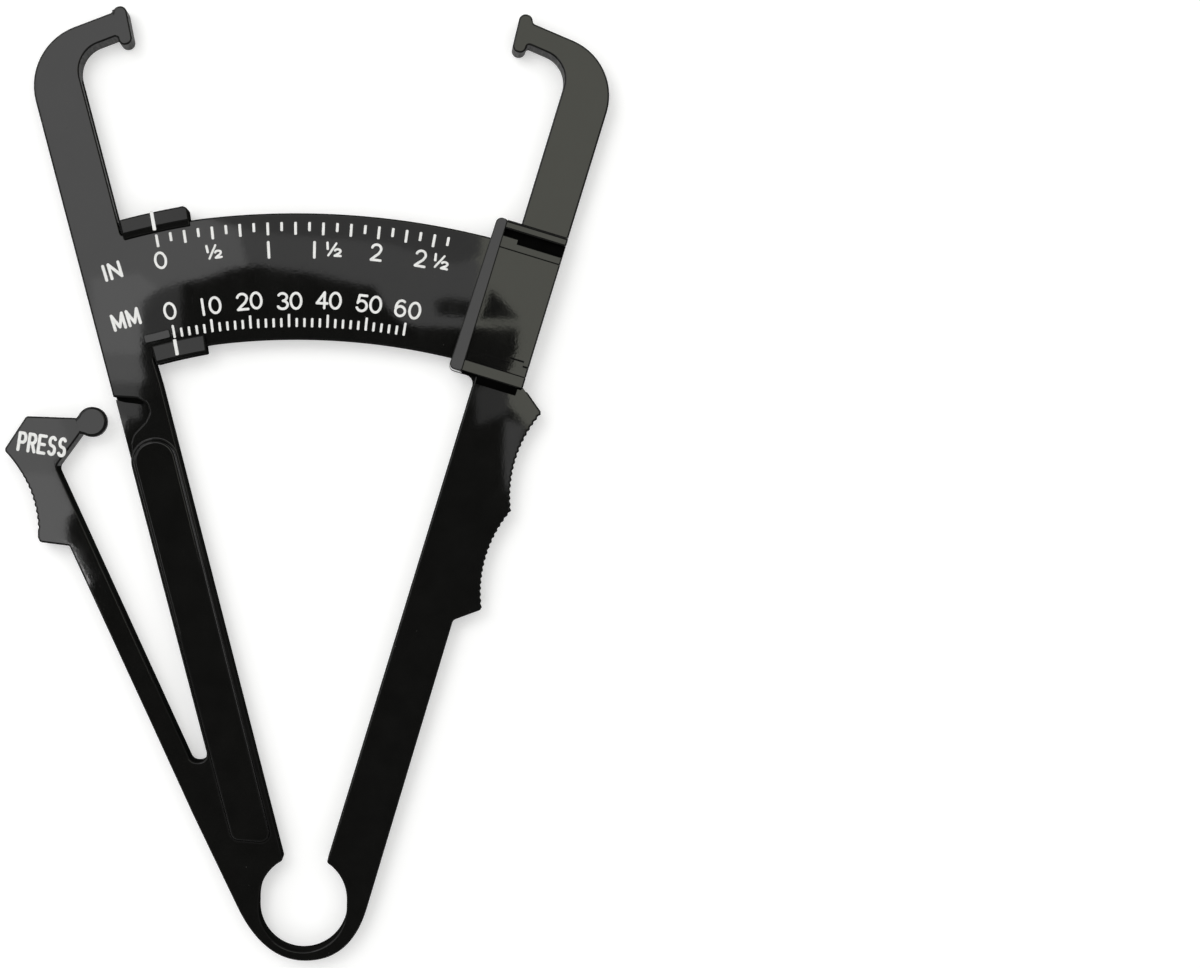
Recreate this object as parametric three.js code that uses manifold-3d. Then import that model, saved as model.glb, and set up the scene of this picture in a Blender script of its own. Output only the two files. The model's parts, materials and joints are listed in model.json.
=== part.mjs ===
// Skinfold caliper: two hooked arms on a spring ring, a curved scale that runs through a housing,
// a memory slider that stays at the reading, and a thumb lever that clicks at the right pressure.
// Millimetres. Sizes are taken from the ring's centre: +Y runs along the centre line to the jaws,
// +X to the arm with the housing, +Z out of the printed face. The open caliper lies on z = 0.
// Arm coordinates are [out, along]: out from the ring's centre line to the outside, along the arm.
import * as THREE from 'three';
import { mergeVertices } from 'three/addons/utils/BufferGeometryUtils.js';
import Module from 'manifold-3d';

const wasm = await Module();
wasm.setup();

// Shared clearances and steps
const running_gap = 0.3;
const overrun = 1;
const curve_step = THREE.MathUtils.degToRad(7.5);
const full_turn = 2 * Math.PI;
const quarter_turn = full_turn / 4;

// Arms: they lean out from the centre line a little more than the pad faces do
const pad_face_angle = THREE.MathUtils.degToRad(12.4);
const face_lean = THREE.MathUtils.degToRad(3.45);
const arm_thickness = 6;
const arm_outer = 9.65;
const left_inner = 0.95;
const right_inner = 1.5;
const arm_above_housing = 11.2;

// Jaws: a hooked beak carries a contact pad whose face points at the ring's centre
const pad_above_arm = 17.3;
const pad_length = 6.8;
const pad_thickness = 2.4;
const beak_thickness = 3.2;
const beak_rise = 1.8;
const beak_under_rise = 0.9;
const jaw_outer_bend = 10.3;
const jaw_inner_bend = 4.5;

// Spring ring
const hole_radius = 7.75;
const hole_stretch = 1.4;
const bow_wall = 1.45;
const bow_left_wall = 3.6;
const claw_inner = 1.5;
const root_bend = 3;

// Left handle
const handle_top_inner = 0.4;
const handle_below_scale = 2.4;
const panel_height = 0.8;
const panel_below_top = 11.2;
const panel_foot = 12;
const panel_foot_slant = 3;
const panel_outer_border = 0.5;
const panel_inner_border = 1.2;
const panel_foot_round = 1.2;
const socket_clearance = 1;
const socket_depth = 1.41;
const socket_floor = 3.2;

// Press lever: a springy tongue with a thumb tab and a click ball
const lever_splay = THREE.MathUtils.degToRad(9.9);
const lever_inner = 7.4;
const lever_width = 3.5;
const slot_bottom = 24.75;
const slot_round = 1.4;
const root_above_slot = 1.2;
const root_length = 9.65;
const flexure_length = 8;
const tab_below_top = 22.2;
const tab_height = 23.2;
const tab_reach = 4.1;
const tab_scoop = 1.65;
const neck_reach = 6.5;
const heel_round = 1;
const tip_round = 0.6;
const ball_radius = 2.5;
const ball_neck = 0.15;
const ball_above_floor = 0.4;

// Scale
const scale_width = 21.9;
const scale_thickness = 2.2;
const scale_tail = 9;
const scale_step = THREE.MathUtils.degToRad(1);
const zero_from_arm = THREE.MathUtils.degToRad(2.05);
const mark_height = 0.15;
const mark_width = 0.55;
const inch = 25.4;
const inch_parts = 8;
const inch_marks = 22;
const inch_mark_edge = 1.4;
const inch_long_mark = 2.4;
const inch_short_mark = 1.7;
const metric_step = 2;
const metric_marks = 31;
const metric_mark_edge = 2.1;
const metric_long_mark = 2.5;
const metric_short_mark = 1.7;
const marks_to_long = 5;

// Housing on the right arm
const slot_to_housing = 71.65;
const housing_inner = -3.6;
const rib_width = 2.4;
const rib_height = 1.7;
const plate_height = 1.1;
const plate_relief = 0.3;
const bottom_wall = 1.2;
const bottom_cap = 1.1;
const bottom_play = 0.8;
const top_rail_width = 1.4;
const window_lip = 0.6;
const window_width = 1.2;
const plate_strip = 1.7;
const rail_height = 1.2;
const housing_round = 1;

// Finger grip on the right handle
const grip_length = 41.6;
const grip_foot_slope = 3.5;
const grip_top_slope = 2.5;
const grip_reach = 3.95;
const scallop_depth = 1.9;
const scallops = 2;
const tooth_pitch = 1;
const tooth_depth = 0.25;

// Slider
const slider_back = 1.5;
const slider_top_wall = 2.3;
const slider_low_wall = 0.8;
const slider_top_lip = 0.8;
const slider_low_lip = 1.5;
const slider_lip_height = 1;

// Worked-out places
const arm_lean = pad_face_angle + face_lean;
const lever_lean = arm_lean + lever_splay;
const bow_drop = hole_radius + bow_wall;
const housing_foot = slot_bottom + slot_to_housing;
const scale_inner = housing_foot + bottom_wall + bottom_play;
const scale_outer = scale_inner + scale_width;
const scale_back = arm_thickness - scale_thickness;
const behind_scale = scale_back - running_gap;
const over_scale = arm_thickness + running_gap;
const zero_angle = arm_lean - zero_from_arm;
const inch_mark_radius = scale_outer - inch_mark_edge;
const metric_mark_radius = scale_inner + metric_mark_edge;
const top_wall = scale_outer + running_gap;
const low_wall = scale_inner - running_gap;
const slider_top_radius = top_wall + slider_top_wall;
const slider_low_radius = low_wall - slider_low_wall;
const housing_top = top_wall + window_lip + window_width + top_rail_width;
const rib_out = housing_inner + rib_width;
const jaw_start = housing_top + arm_above_housing;
const pad_low_radius = jaw_start + pad_above_arm;
const pad_radius = pad_low_radius + pad_length / 2;
const closing_angle = 2 * pad_face_angle - running_gap / pad_radius;
const handle_top = scale_inner - handle_below_scale;
const panel_top = handle_top - panel_below_top;
const grip_foot = housing_foot - grip_length;
const slot_in_lever = (slot_bottom + lever_inner * Math.sin(lever_lean)) / Math.cos(lever_lean);
const lever_root = slot_in_lever + root_above_slot;
const lever_foot = lever_root - root_length;
const lever_outer = lever_inner + lever_width;
const lever_middle = lever_inner + lever_width / 2;
const flexure_end = lever_root + flexure_length;
const tab_foot = handle_top - tab_below_top;
const ball_back = socket_floor + ball_above_floor;

const plastic = { color: 0x121212, roughness: 0.28, metalness: 0 };

// Frames of reference: each turns a point written along a leaning line into another frame
const turned = ([x, y], angle) => [
  x * Math.cos(angle) + y * Math.sin(angle),
  y * Math.cos(angle) - x * Math.sin(angle),
];
const arm_from_ring = (point) => turned(point, -arm_lean);
const ring_from_lever = (point) => turned(point, lever_lean);
const arm_from_lever = (point) => turned(point, lever_lean - arm_lean);
const arm_from_face = (point) => turned(point, -face_lean);
const mirrored = (points) => points.map(([x, y]) => [-x, y]);

// Points along an arc about a centre, angles counted from +X towards +Y
function arc_points([x, y], radius, start, end, step = curve_step) {
  const steps = Math.max(1, Math.ceil(Math.abs(end - start) / step));
  return Array.from({ length: steps + 1 }, (_, i) => {
    const angle = THREE.MathUtils.lerp(start, end, i / steps);
    return [x + radius * Math.cos(angle), y + radius * Math.sin(angle)];
  });
}

// A closed outline whose corners [x, y, radius] are rounded, the radius limited by the shorter side
function rounded(corners) {
  return corners.flatMap(([x, y, radius = 0], i) => {
    if (radius === 0) {
      return [[x, y]];
    }
    const corner = new THREE.Vector2(x, y);
    const before = new THREE.Vector2(...corners.at(i - 1)).sub(corner);
    const after = new THREE.Vector2(...corners[(i + 1) % corners.length]).sub(corner);
    const half = Math.acos(THREE.MathUtils.clamp(before.clone().normalize().dot(
      after.clone().normalize()), -1, 1)) / 2;
    const room = Math.min(before.length(), after.length()) / 2;
    const reach = Math.min(radius / Math.tan(half), room);
    const kept = reach * Math.tan(half);
    const centre = before.clone().normalize().add(after.clone().normalize()).normalize()
      .multiplyScalar(kept / Math.sin(half)).add(corner);
    const first = before.clone().setLength(reach).add(corner).sub(centre);
    const last = after.clone().setLength(reach).add(corner).sub(centre);
    const start = first.angle();
    const turn = Math.atan2(first.cross(last), first.dot(last));
    return arc_points([centre.x, centre.y], kept, start, start + turn);
  });
}

// A flat piece: an outline raised from one height to another
function slab(points, bottom, top) {
  const shape = new THREE.Shape(points.map(([x, y]) => new THREE.Vector2(x, y)));
  const geometry = new THREE.ExtrudeGeometry(shape, { depth: top - bottom, bevelEnabled: false });
  return geometry.translate(0, 0, bottom);
}

// A bar across the arm: a profile of [along, height] drawn out from one side to the other
function bar(profile, from, to) {
  const axes = new THREE.Matrix4().makeBasis(
    new THREE.Vector3(0, 1, 0), new THREE.Vector3(0, 0, 1), new THREE.Vector3(1, 0, 0));
  return slab(profile, from, to).applyMatrix4(axes);
}

// Geometry to solid and back, for joins and cuts
function solid(geometry) {
  const plain = geometry.clone();
  plain.deleteAttribute('normal');
  plain.deleteAttribute('uv');
  const merged = mergeVertices(plain);
  return new wasm.Manifold(new wasm.Mesh({
    numProp: 3,
    vertProperties: Float32Array.from(merged.attributes.position.array),
    triVerts: Uint32Array.from(merged.index.array),
  }));
}

function geometry_of(body) {
  const mesh = body.getMesh();
  const geometry = new THREE.BufferGeometry();
  geometry.setAttribute('position', new THREE.BufferAttribute(mesh.vertProperties, mesh.numProp));
  geometry.setIndex(new THREE.BufferAttribute(mesh.triVerts, 1));
  geometry.computeVertexNormals();
  return geometry;
}

const joined = (...pieces) => geometry_of(pieces.map(solid).reduce((sum, piece) => sum.add(piece)));

function piece(name, geometry) {
  const mesh = new THREE.Mesh(geometry, new THREE.MeshStandardMaterial(plastic));
  mesh.name = name;
  return mesh;
}

// Jaws, the same on both arms: [out, along]
const face_point = (out, along) => arm_from_face([out, along]);

function jaw_outline(inner) {
  const beak_low = pad_radius - beak_thickness / 2;
  const tip_low = face_point(pad_thickness, beak_low);
  const tip_top = face_point(pad_thickness, beak_low + beak_thickness);
  return rounded([
    [inner, jaw_start],
    [arm_outer, jaw_start],
    [arm_outer, tip_top[1] - beak_rise, jaw_outer_bend],
    tip_top,
    tip_low,
    [inner, tip_low[1] - beak_under_rise, jaw_inner_bend],
  ]);
}

function pad_outline() {
  const top = pad_low_radius + pad_length;
  const round = pad_thickness / 2;
  return rounded([
    [...face_point(0, pad_low_radius), round],
    [...face_point(pad_thickness, pad_low_radius), round],
    [...face_point(pad_thickness, top), round],
    [...face_point(0, top), round],
  ]);
}

// Ring end of a handle: the ring's hole from the bow's end up to the claw's tip
function claw_edge() {
  const centre = [0, hole_stretch];
  const [out, along] = arm_from_ring(centre);
  const tip = [claw_inner, along + Math.sqrt(hole_radius ** 2 - (claw_inner - out) ** 2)];
  const tip_in_ring = turned(tip, arm_lean);
  const end = Math.atan2(tip_in_ring[1] - hole_stretch, tip_in_ring[0]);
  return [[hole_radius, 0], ...arc_points(centre, hole_radius, 0, end)].map(arm_from_ring);
}

const outer_at_ring = arm_outer / Math.cos(arm_lean);
const left_outer_at_ring = hole_radius + bow_left_wall;

function right_handle_outline() {
  return [
    ...claw_edge(),
    [right_inner, housing_foot],
    [arm_outer, housing_foot],
    arm_from_ring([outer_at_ring, 0]),
  ];
}

// Where a line given by its lean and its offset crosses a height above the ring's centre
const across = (lean, offset, height) => [(offset + height * Math.sin(lean)) / Math.cos(lean), height];

function left_handle_outline() {
  const slot_in = arm_from_ring(across(arm_lean, arm_outer, slot_bottom));
  const slot_out = arm_from_ring(across(lever_lean, lever_inner, slot_bottom));
  return [
    ...claw_edge(),
    ...rounded([
      [handle_top_inner, handle_top],
      [arm_outer, handle_top],
      [...slot_in, slot_round],
      [...slot_out, slot_round],
      arm_from_lever([lever_inner, lever_root]),
      arm_from_lever([lever_outer, lever_root]),
      [...arm_from_lever([lever_outer, lever_foot]), root_bend],
      arm_from_ring([left_outer_at_ring, 0]),
    ]),
  ];
}

// The socket lies where the click ball arrives, on its way round the flexure, inside the handle
function left_handle() {
  const pivot = arm_from_lever([lever_middle, lever_root]);
  const ball = arm_from_lever(ball_centre());
  const swing = Math.hypot(ball[0] - pivot[0], ball[1] - pivot[1]);
  const out = arm_outer - socket_depth;
  const along = pivot[1] + Math.sqrt(swing ** 2 - (out - pivot[0]) ** 2);
  const body = solid(slab(mirrored(left_handle_outline()), 0, arm_thickness));
  const rim = arc_points([out, along], ball_radius + socket_clearance, 0, full_turn);
  const socket = slab(mirrored(rim.slice(1)), socket_floor, arm_thickness + overrun);
  return geometry_of(body.subtract(solid(socket)));
}

// The panel follows the handle's edges with a border, under a round arch
function panel_outline() {
  const taper = (claw_inner - handle_top_inner) / handle_top;
  const inner = (along) => claw_inner - taper * along + panel_inner_border;
  const outer = arm_outer - panel_outer_border;
  const arch = (outer - inner(panel_top)) / 2;
  return rounded([
    [inner(panel_foot), panel_foot, panel_foot_round],
    [inner(panel_top), panel_top, arch],
    [outer, panel_top, arch],
    [outer, panel_foot + panel_foot_slant, panel_foot_round],
  ]);
}

// Spring bow: from arm to arm round the lower half of the hole
function bow_side(outside, slope) {
  const top = new THREE.Vector2(outside, 0);
  const control = new THREE.Vector2(outside - bow_drop * slope, -bow_drop);
  const curve = new THREE.QuadraticBezierCurve(top, control, new THREE.Vector2(0, -bow_drop));
  return curve.getPoints(Math.ceil(quarter_turn / curve_step)).map((point) => [point.x, point.y]);
}

function bow_outline() {
  const foot = ring_from_lever([lever_outer, lever_foot]);
  const left_slope = (foot[0] - left_outer_at_ring) / foot[1];
  return [
    ...bow_side(outer_at_ring, Math.tan(arm_lean)),
    ...mirrored(bow_side(left_outer_at_ring, left_slope)).reverse().slice(1),
    ...arc_points([0, 0], hole_radius, full_turn / 2, full_turn),
  ];
}

// Press lever, in lever coordinates: the tab's corners are shares of its height and its reaches
const heel_share = 0.116;
const thumb_share = 0.155;
const tip_share = 0.852;
const tip_out_share = 0.87;
const crown_out_share = 0.27;
const neck_top_share = 0.843;
const neck_low_share = 0.726;
const neck_low_out_share = 0.946;
const elbow_share = 0.578;
const tab_along = (share) => tab_foot + tab_height * share;
const neck_top = [lever_inner - neck_reach, tab_along(neck_top_share)];
const neck_low = [lever_inner - neck_reach * neck_low_out_share, tab_along(neck_low_share)];

function tab_outline() {
  const outside = lever_outer + tab_reach;
  const tip_out = lever_outer + tab_reach * tip_out_share;
  return rounded([
    [lever_inner, tab_foot],
    [lever_outer, tab_foot],
    [outside, tab_along(heel_share), heel_round],
    ...scoop([outside, tab_along(thumb_share)], [tip_out, tab_along(tip_share)], tab_scoop),
    [tip_out, tab_along(tip_share), tip_round],
    [lever_inner + lever_width * crown_out_share, tab_along(1)],
    neck_top,
    neck_low,
    [lever_inner, tab_along(elbow_share)],
  ]);
}

// Points on a hollow between two corners, without the corners themselves
function scoop(start, end, depth) {
  const first = new THREE.Vector2(...start);
  const last = new THREE.Vector2(...end);
  const half = first.distanceTo(last) / 2;
  const radius = (half ** 2 + depth ** 2) / (2 * depth);
  const out = last.clone().sub(first).rotateAround(new THREE.Vector2(), -quarter_turn).normalize();
  const centre = first.clone().lerp(last, 1 / 2).addScaledVector(out, radius - depth);
  const from = first.clone().sub(centre).angle();
  const to = last.clone().sub(centre).angle();
  return arc_points([centre.x, centre.y], radius, from, to, curve_step / 2).slice(1, -1);
}

function ball_centre() {
  const low = new THREE.Vector2(...neck_low);
  const top = new THREE.Vector2(...neck_top);
  const away = top.clone().sub(low).rotateAround(new THREE.Vector2(), quarter_turn).normalize();
  return low.lerp(top, 1 / 2).addScaledVector(away, ball_radius + ball_neck).toArray();
}

// The ball's disc is joined to the tab by a short neck
function ball_outline() {
  const [x, y] = ball_centre();
  const to_top = Math.atan2(neck_top[1] - y, neck_top[0] - x);
  const to_low = Math.atan2(neck_low[1] - y, neck_low[0] - x);
  const start = to_top + 2 * curve_step;
  const end = to_low + full_turn - 2 * curve_step;
  return [neck_top, ...arc_points([x, y], ball_radius, start, end), neck_low];
}

const lever_strip = (from, to) => [
  [lever_inner, from],
  [lever_outer, from],
  [lever_outer, to],
  [lever_inner, to],
];

// Lever outlines are drawn about the point that the flexure bends round
const about_root = (points) => points.map(([x, y]) => [lever_middle - x, y - lever_root]);

// Scale: an arc about the ring's centre, from the left arm into the housing
const clock_point = (radius, angle) => [radius * Math.sin(angle), radius * Math.cos(angle)];
const line_angle = (lean, offset) => (radius) => lean + Math.asin(offset / radius);
const opposite = (line) => (radius) => -line(radius);

function sector(inner, outer, start, end) {
  const edge = (radius) => {
    const steps = Math.ceil((end(radius) - start(radius)) / scale_step);
    return Array.from({ length: steps + 1 }, (_, i) => clock_point(radius,
      THREE.MathUtils.lerp(start(radius), end(radius), i / steps)));
  };
  return [...edge(outer), ...edge(inner).reverse()];
}

function mark(angle, from, to) {
  const half = mark_width / 2;
  const corners = [[-half, from], [half, from], [half, to], [-half, to]];
  return slab(corners, scale_back + running_gap, arm_thickness + mark_height).rotateZ(-angle);
}

// Marks stand at the jaw openings that they name, counted from the closed reading
function scale() {
  const opening_angle = (opening) => opening / pad_radius - zero_angle;
  const plate = slab(sector(scale_inner, scale_outer, opposite(line_angle(arm_lean, left_inner)),
    line_angle(arm_lean, scale_tail)), scale_back, arm_thickness);
  const inch_scale = Array.from({ length: inch_marks }, (_, i) => {
    const length = i % 2 === 0 ? inch_long_mark : inch_short_mark;
    const angle = opening_angle(i * inch / inch_parts);
    return mark(angle, inch_mark_radius - length, inch_mark_radius);
  });
  const metric_scale = Array.from({ length: metric_marks }, (_, i) => {
    const length = i % marks_to_long === 0 ? metric_long_mark : metric_short_mark;
    return mark(opening_angle(i * metric_step), metric_mark_radius, metric_mark_radius + length);
  });
  return joined(plate, ...inch_scale, ...metric_scale);
}

// Slider: its left end meets the left arm and its right end the closed housing, both at zero
const slider_start = opposite(line_angle(arm_lean, left_inner - running_gap));
const slider_end = line_angle(arm_lean - closing_angle, housing_inner - running_gap);

function slider_clip(wall_inner, wall_outer, lip_inner, lip_outer) {
  const top = over_scale + slider_lip_height;
  return joined(
    slab(sector(wall_inner, wall_outer, slider_start, slider_end), behind_scale, top),
    slab(sector(lip_inner, lip_outer, slider_start, slider_end), over_scale, top));
}

// Housing: a tunnel for the scale, open at both ends, with a window along its top edge
const housing_bar = (profile) => bar(profile, rib_out, arm_outer);

function reading_rib() {
  const top = over_scale + rib_height;
  const foot = housing_foot + bottom_wall;
  return bar([
    [housing_foot, behind_scale],
    [foot, behind_scale],
    [foot, over_scale],
    [top_wall, over_scale],
    [top_wall, behind_scale],
    [housing_top, behind_scale],
    [housing_top, top],
    [housing_foot, top],
  ], housing_inner, rib_out);
}

function front_plate() {
  const foot = housing_foot + bottom_wall + bottom_cap;
  const top = top_wall + window_lip;
  const low = over_scale + plate_height - plate_relief;
  const high = over_scale + plate_height;
  return housing_bar([
    [foot, over_scale],
    [top_wall, over_scale],
    [top_wall, behind_scale],
    [top, behind_scale],
    [top, low],
    [top - plate_strip, low],
    [top - plate_strip, high],
    [foot + plate_strip, high],
    [foot + plate_strip, low],
    [foot, low],
  ]);
}

function bottom_rail() {
  const wall = housing_foot + bottom_wall;
  const top = over_scale + rail_height;
  return housing_bar([
    [housing_foot, behind_scale],
    [wall, behind_scale],
    [wall, over_scale],
    [wall + bottom_cap, over_scale],
    [wall + bottom_cap, top],
    [housing_foot, top],
  ]);
}

function top_rail() {
  const foot = housing_top - top_rail_width;
  const top = over_scale + rail_height;
  return housing_bar([
    [foot, behind_scale],
    [housing_top, behind_scale],
    [housing_top, top],
    [foot, top],
  ]);
}

function housing_back_outline() {
  return rounded([
    [housing_inner, housing_foot, housing_round],
    [arm_outer, housing_foot],
    [arm_outer, housing_top],
    [housing_inner, housing_top, housing_round],
  ]);
}

// Finger grip: two hollows with fine teeth along the right handle's outer edge
function grip_outline() {
  const tip_out = arm_outer + grip_reach;
  const first = grip_foot + grip_foot_slope;
  const last = housing_foot - grip_top_slope;
  const length = (last - first) / scallops;
  const teeth = Math.round(length / tooth_pitch);
  const radius = ((length / 2) ** 2 + scallop_depth ** 2) / (2 * scallop_depth);
  const points = Array.from({ length: scallops * teeth * 2 + 1 }, (_, i) => {
    const along = i / (2 * teeth);
    const from_middle = (along % 1 - 1 / 2) * length;
    const hollow = Math.sqrt(radius ** 2 - from_middle ** 2) - (radius - scallop_depth);
    return [tip_out - hollow - (i % 2) * tooth_depth, first + along * length];
  });
  return [[arm_outer, grip_foot], ...points, [arm_outer, housing_foot]];
}

const straight_arm = (inner, from) => [
  [inner, from],
  [arm_outer, from],
  [arm_outer, jaw_start],
  [inner, jaw_start],
];

// The whole caliper, open as it rests
const left_side = new THREE.Group();
left_side.rotation.z = arm_lean;
left_side.add(
  piece('left_handle', left_handle()),
  piece('handle_panel', slab(mirrored(panel_outline()), arm_thickness, arm_thickness + panel_height)),
  piece('left_arm', slab(mirrored(straight_arm(left_inner, handle_top)), 0, arm_thickness)),
  piece('left_jaw', slab(mirrored(jaw_outline(left_inner)), 0, arm_thickness)),
  piece('left_pad', slab(mirrored(pad_outline()), 0, arm_thickness)));

const right_side = new THREE.Group();
right_side.rotation.z = -arm_lean;
right_side.add(
  piece('right_handle', slab(right_handle_outline(), 0, arm_thickness)),
  piece('finger_grip', slab(grip_outline(), 0, arm_thickness)),
  piece('housing_back', slab(housing_back_outline(), 0, behind_scale)),
  piece('housing_bottom_rail', bottom_rail()),
  piece('housing_front', front_plate()),
  piece('housing_top_rail', top_rail()),
  piece('reading_rib', reading_rib()),
  piece('right_arm', slab(straight_arm(right_inner, housing_top), 0, arm_thickness)),
  piece('right_jaw', slab(jaw_outline(right_inner), 0, arm_thickness)),
  piece('right_pad', slab(pad_outline(), 0, arm_thickness)));

const lever = new THREE.Group();
const [pivot_x, pivot_y] = ring_from_lever([lever_middle, lever_root]);
lever.position.set(-pivot_x, pivot_y, 0);
lever.rotation.z = lever_lean;
lever.add(
  piece('lever_flexure', slab(about_root(lever_strip(lever_root, flexure_end)), 0, arm_thickness)),
  piece('press_lever', slab(about_root(lever_strip(flexure_end, tab_foot)), 0, arm_thickness)),
  piece('press_tab', slab(about_root(tab_outline()), 0, arm_thickness)),
  piece('click_ball', slab(about_root(ball_outline()), ball_back, arm_thickness)));

const slider_web = sector(slider_low_radius, slider_top_radius, slider_start, slider_end);
const slider = new THREE.Group();
slider.add(
  piece('slider_web', slab(slider_web, slider_back, behind_scale)),
  piece('slider_top_clip', slider_clip(top_wall, slider_top_radius,
    scale_outer - slider_top_lip, top_wall)),
  piece('slider_low_clip', slider_clip(slider_low_radius, low_wall,
    low_wall, scale_inner + slider_low_lip)));

const caliper = new THREE.Group();
caliper.add(
  left_side,
  right_side,
  lever,
  slider,
  piece('scale_plate', scale()),
  piece('spring_bow', slab(bow_outline(), 0, arm_thickness)));

// The origin is the middle of the footprint, on the surface that the caliper lies on
const bounds = new THREE.Box3().setFromObject(caliper, true);
const middle = bounds.getCenter(new THREE.Vector3());
caliper.position.set(-middle.x, -middle.y, -bounds.min.z);

export default caliper;
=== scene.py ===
"""Skinfold caliper, dressed: a glossy black moulding with white printed scales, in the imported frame.

Shapes are written in millimetres from the centre of the spring ring, +Y along the centre line to the jaws.
Arm coordinates are (out, along): out from a line through the ring's centre to the arm's outside, and
along that line. The left side is written as the right side is, and mirrored.
"""

import json
import math

import bpy
from mathutils import Matrix, Vector
from mathutils.geometry import tessellate_polygon


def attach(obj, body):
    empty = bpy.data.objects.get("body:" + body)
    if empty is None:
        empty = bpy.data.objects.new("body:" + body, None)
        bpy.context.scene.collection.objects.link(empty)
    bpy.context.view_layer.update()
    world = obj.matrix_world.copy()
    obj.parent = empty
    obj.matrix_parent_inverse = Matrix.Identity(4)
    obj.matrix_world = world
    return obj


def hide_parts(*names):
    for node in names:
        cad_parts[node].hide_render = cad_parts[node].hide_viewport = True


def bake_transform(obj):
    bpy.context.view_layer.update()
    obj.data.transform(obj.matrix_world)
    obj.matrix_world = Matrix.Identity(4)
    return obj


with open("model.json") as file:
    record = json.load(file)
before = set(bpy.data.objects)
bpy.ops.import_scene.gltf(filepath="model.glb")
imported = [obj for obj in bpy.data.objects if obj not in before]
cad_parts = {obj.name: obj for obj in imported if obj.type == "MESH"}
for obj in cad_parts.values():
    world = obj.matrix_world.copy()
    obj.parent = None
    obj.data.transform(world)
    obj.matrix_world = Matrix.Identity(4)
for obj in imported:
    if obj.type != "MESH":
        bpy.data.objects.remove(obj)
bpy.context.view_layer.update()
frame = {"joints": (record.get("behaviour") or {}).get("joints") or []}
joints = {joint["name"]: joint for joint in frame["joints"]}
MM = 0.001
RING = Vector((joints["arm_close"]["pos_m"][0], joints["arm_close"]["pos_m"][1], 0))

# Sizes of the caliper, in millimetres and degrees
LEAN = math.radians(15.85)
FACE_LEAN = math.radians(3.45)
LEVER_LEAN = math.radians(25.75)
CLOSING = math.radians(24.69)
ARM_TOP = 6
OUTER = 9.65
LEFT_INNER = 1.25
RIGHT_INNER = 1.3
RIGHT_OUTER = 9.7
HANDLE_OUTER = 9.95
RING_OUTER = 10.25
LEFT_BOW = 11.75
SCALE_BACK = 3.8
BEHIND_SCALE = 3.5
OVER_SCALE = 6.3
HOUSING_HEIGHT = 8
PLATE_HEIGHT = 7.4
PLATE_STRIP_HEIGHT = 7.1
WINDOW_FLOOR = 6.4
LIP_HEIGHT = 7.3
SOCKET_FLOOR = 3.2
GROOVE_FLOOR = 1.0
HOUSING_FOOT = 96.4
HOUSING_TOP = 123.8
HOUSING_INNER = -3.6
RIB_OUT = -1.2
TOP_WALL = 120.6
TOP_BAR_FOOT = 122.2
PLATE_FOOT = 98.7
PAD_LOW = 152.3
PAD_TOP = 159.08
PAD_THICKNESS = 2.4
BEAK_LOW = 154.1
LEFT_BEAK = 158.25
RIGHT_BEAK = 157.8
LEFT_BEND = 10.8
RIGHT_BEND = 10.3
HOLE = 7.6
HOLE_LEFT = 0.4
CLAW_HEIGHT = 1.4
CLAW_TIP_ROUND = 0.6
BOW_DROP = 9.2
LEVER_INNER = 7.4
LEVER_OUTER = 10.9
LEVER_ROOT = 32.248
LEVER_FOOT = 22.598
FLEXURE_END = 40.248
SLOT_BOTTOM = 24.75
TAB_FOOT = 73.8
TAB_HEIGHT = 23.2
TAB_OUTER = 15.35
FAN = (-1.25, -16.5)
FAN_ZERO = math.radians(-11.45)
INCH_STEP = math.radians(1.0285)
METRIC_STEP = math.radians(0.6488)
INCH_LINES_TOP = 134.97
METRIC_LINES_FOOT = 116.78
EDGE = 0.32


# Frames of reference
def turned(point, angle):
    """A point written along a line that leans clockwise by angle, in the frame that the line leans in."""
    x, y = point
    return (x * math.cos(angle) + y * math.sin(angle), y * math.cos(angle) - x * math.sin(angle))


def from_ring(point):
    """A point in ring coordinates, in arm coordinates."""
    return turned(point, -LEAN)


def from_lever(point):
    """A point in the press lever's leaning coordinates, in arm coordinates."""
    return turned(point, LEVER_LEAN - LEAN)


def from_face(point):
    """A point in the jaw face's leaning coordinates, in arm coordinates."""
    return turned(point, -FACE_LEAN)


def line_at_height(lean, offset, height):
    """Where a leaning line, offset outwards, passes a height above the ring's centre."""
    return ((offset + height * math.sin(lean)) / math.cos(lean), height)


# Outlines are lists of (x, y, sides). sides says which edges of a slab the line after the point rounds
def arc(centre, radius, start, end, step=5.0):
    """Points along an arc, angles in degrees from +X towards +Y."""
    count = max(1, math.ceil(abs(end - start) / step))
    turns = [math.radians(start + (end - start) * i / count) for i in range(count + 1)]
    return [(centre[0] + radius * math.cos(t), centre[1] + radius * math.sin(t)) for t in turns]


def rounded(corners, step=6.0):
    """An outline from corners (x, y), (x, y, radius) or (x, y, radius, sides)."""
    full = [(*corner, *(0, "tb")[len(corner) - 2:]) for corner in corners]
    outline = []
    for i, (x, y, radius, sides) in enumerate(full):
        if not radius:
            outline.append((x, y, sides))
            continue
        corner = Vector((x, y))
        before = (Vector(full[i - 1][:2]) - corner).normalized()
        after = (Vector(full[(i + 1) % len(full)][:2]) - corner).normalized()
        half = before.angle(after) / 2
        centre = corner + (before + after).normalized() * radius / math.sin(half)
        first = corner + before * radius / math.tan(half) - centre
        last = corner + after * radius / math.tan(half) - centre
        start = math.degrees(math.atan2(first.y, first.x))
        turn = math.degrees(math.atan2(first.x * last.y - first.y * last.x, first.dot(last)))
        bend = arc(centre, radius, start, start + turn, step)
        outline += [(px, py, full[i - 1][3]) for px, py in bend[:-1]] + [(*bend[-1], sides)]
    return outline


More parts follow.
